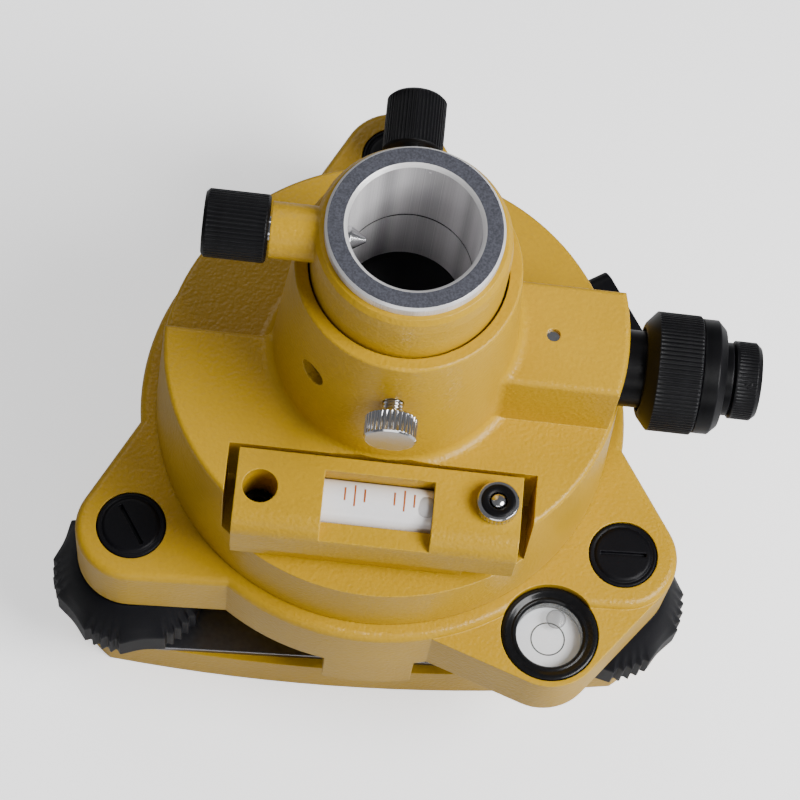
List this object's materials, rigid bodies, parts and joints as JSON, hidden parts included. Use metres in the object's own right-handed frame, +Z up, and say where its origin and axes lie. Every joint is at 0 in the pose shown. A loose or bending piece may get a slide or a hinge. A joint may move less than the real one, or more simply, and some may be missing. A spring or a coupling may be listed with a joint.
{
  "type": "rotating prism carrier on a three-screw tribrach",
  "caption": "Levelling base with three foot screws, carrying a rotating socket for a surveying prism, with an optical plummet, a plate level and a round level.",
  "frame": {"origin": "mouth of the tripod thread, in the middle of the base plate's underside", "axes": "+Z up the vertical axis, out of the prism socket; +X along the optical plummet towards the eye; the plate level is on the -Y side"},
  "size_m": [0.1426, 0.1356, 0.1456],
  "materials": {
    "cast_yellow": "fine textured powder coat",
    "black_plastic": "satin moulded",
    "black_anodised": "satin black anodised",
    "turned_steel": "fine turned",
    "chrome": "polished",
    "spring_steel": "blued spring steel",
    "brass": "machined",
    "axle_alloy": "machined",
    "clear_glass": "polished",
    "white_enamel": "satin white",
    "white_vial": "white backed vial"
  },
  "bodies": {
    "base": {"base_plate": "cast_yellow", "tripod_insert": "brass", "spring_plate": "spring_steel", "spring_screws": "chrome"},
    "levelling": {"levelling_plate": "cast_yellow", "foot_sleeve_1": "brass", "foot_sleeve_2": "brass", "foot_sleeve_3": "brass", "screw_cap_1": "black_plastic", "screw_cap_2": "black_plastic", "screw_cap_3": "black_plastic", "round_level_case": "black_plastic", "round_level_floor": "white_enamel", "round_level_glass": "clear_glass", "round_level_screws": "chrome", "lock_ring_retainer": "turned_steel", "axis_adapter": "axle_alloy", "adapter_studs": "turned_steel", "axis_nut": "turned_steel"},
    "foot_1": {"foot_screw_1": "turned_steel", "foot_wheel_1": "black_plastic"},
    "foot_2": {"foot_screw_2": "turned_steel", "foot_wheel_2": "black_plastic"},
    "foot_3": {"foot_screw_3": "turned_steel", "foot_wheel_3": "black_plastic"},
    "cam": {"lock_ring": "turned_steel"},
    "twist": {"lock_shaft": "turned_steel", "lock_knob": "black_plastic"},
    "carrier": {"carrier_body": "cast_yellow", "axis_bush": "brass", "level_stud": "chrome", "level_pivot_screw": "black_anodised", "sight_tube": "black_anodised", "sight_prism": "clear_glass", "prism_seat": "black_anodised", "objective_cell": "black_anodised", "objective_lens": "clear_glass", "grip_screw": "chrome", "block_screw": "chrome"},
    "level": {"level_bar": "cast_yellow", "level_vial": "white_vial"},
    "adjuster": {"level_nut": "chrome", "level_nut_disc": "black_anodised"},
    "focus": {"focus_grip": "black_anodised"},
    "eye_tube": {"eyepiece_barrel": "black_anodised", "reticle": "clear_glass"},
    "eyepiece": {"eyepiece_ring": "black_anodised", "eyepiece_lens": "clear_glass"},
    "socket": {"socket_sleeve": "cast_yellow", "upper_liner": "turned_steel", "lower_liner": "turned_steel", "socket_pad": "black_anodised"},
    "clamp": {"clamp_shaft": "chrome"},
    "clamp_grip": {"clamp_knob": "black_anodised"},
    "thumb": {"thumb_shaft": "chrome"},
    "thumb_grip": {"thumb_head": "chrome"},
    "brake": {"brake_shaft": "chrome"},
    "brake_grip": {"brake_knob": "black_anodised"}
  },
  "joints": [
    {"name": "level_lift", "type": "slide", "parent": "base", "child": "levelling", "axis": [0, 0, 1], "range_m": [-0.001, 0.005]},
    {"name": "foot_turn_1", "type": "hinge", "parent": "base", "child": "foot_1", "pos_m": [-0.05057, -0.03275, 0.009], "axis": [0, 0, 1], "range_deg": [-1801, 361]},
    {"name": "foot_turn_2", "type": "hinge", "parent": "base", "child": "foot_2", "pos_m": [0.05365, -0.02742, 0.009], "axis": [0, 0, 1], "range_deg": [-1801, 361]},
    {"name": "foot_turn_3", "type": "hinge", "parent": "base", "child": "foot_3", "pos_m": [-0.00308, 0.06017, 0.009], "axis": [0, 0, 1], "range_deg": [-1801, 361]},
    {"name": "lock_turn", "type": "hinge", "parent": "levelling", "child": "twist", "pos_m": [0.04709, 0.0305, 0.043], "axis": [0.8393, 0.5436, 0], "range_deg": [0, 180]},
    {"name": "cam_turn", "type": "hinge", "parent": "levelling", "child": "cam", "pos_m": [0, 0, 0.043], "axis": [0, 0, 1], "range_deg": [-22, 0]},
    {"name": "carrier_turn", "type": "hinge", "parent": "levelling", "child": "carrier", "pos_m": [0, 0, 0.058], "axis": [0, 0, 1], "continuous": true},
    {"name": "level_tilt", "type": "hinge", "parent": "carrier", "child": "level", "pos_m": [-0.0241, -0.0338, 0.0755], "axis": [0, -1, 0], "range_deg": [-0.6, 0.6]},
    {"name": "level_adjust", "type": "hinge", "parent": "level", "child": "adjuster", "pos_m": [0.0235, -0.0325, 0.091], "axis": [0, 0, 1], "range_deg": [-360, 360]},
    {"name": "focus_turn", "type": "hinge", "parent": "carrier", "child": "focus", "pos_m": [0.057, 0, 0.091], "axis": [1, 0, 0], "range_deg": [0, 180]},
    {"name": "eye_slide", "type": "slide", "parent": "carrier", "child": "eye_tube", "axis": [1, 0, 0], "range_m": [0, 0.0015]},
    {"name": "eyepiece_turn", "type": "hinge", "parent": "eye_tube", "child": "eyepiece", "pos_m": [0.072, 0, 0.091], "axis": [1, 0, 0], "range_deg": [-90, 90]},
    {"name": "socket_turn", "type": "hinge", "parent": "carrier", "child": "socket", "pos_m": [0, 0, 0.128], "axis": [0, 0, 1], "continuous": true},
    {"name": "clamp_travel", "type": "slide", "parent": "socket", "child": "clamp", "axis": [-1, 0, 0], "range_m": [-0.0003, 0.0045]},
    {"name": "clamp_turn", "type": "hinge", "parent": "clamp", "child": "clamp_grip", "pos_m": [-0.034, 0, 0.1375], "axis": [-1, 0, 0], "range_deg": [-156, 2316]},
    {"name": "thumb_travel", "type": "slide", "parent": "carrier", "child": "thumb", "axis": [0, -1, 0], "range_m": [-0.0004, 0.003]},
    {"name": "thumb_turn", "type": "hinge", "parent": "thumb", "child": "thumb_grip", "pos_m": [0, -0.028, 0.1146], "axis": [0, -1, 0], "range_deg": [-208, 1545]},
    {"name": "brake_travel", "type": "slide", "parent": "carrier", "child": "brake", "axis": [0, 1, 0], "range_m": [-0.0004, 0.003]},
    {"name": "brake_turn", "type": "hinge", "parent": "brake", "child": "brake_grip", "pos_m": [0.0003, 0.062, 0.0665], "axis": [0, 1, 0], "range_deg": [-208, 1545]}
  ],
  "couplings": [
    {"joint": "foot_turn_1", "follows": "level_lift", "rad_per_m": -6283.2},
    {"joint": "foot_turn_2", "follows": "level_lift", "rad_per_m": -6283.2},
    {"joint": "foot_turn_3", "follows": "level_lift", "rad_per_m": -6283.2},
    {"joint": "cam_turn", "follows": "lock_turn", "ratio": -0.12222},
    {"joint": "level_adjust", "follows": "level_tilt", "ratio": 599.9},
    {"joint": "eye_slide", "follows": "focus_turn", "m_per_rad": 0.000477},
    {"joint": "clamp_turn", "follows": "clamp_travel", "rad_per_m": 8976},
    {"joint": "thumb_turn", "follows": "thumb_travel", "rad_per_m": 8976},
    {"joint": "brake_turn", "follows": "brake_travel", "rad_per_m": 8976}
  ]
}
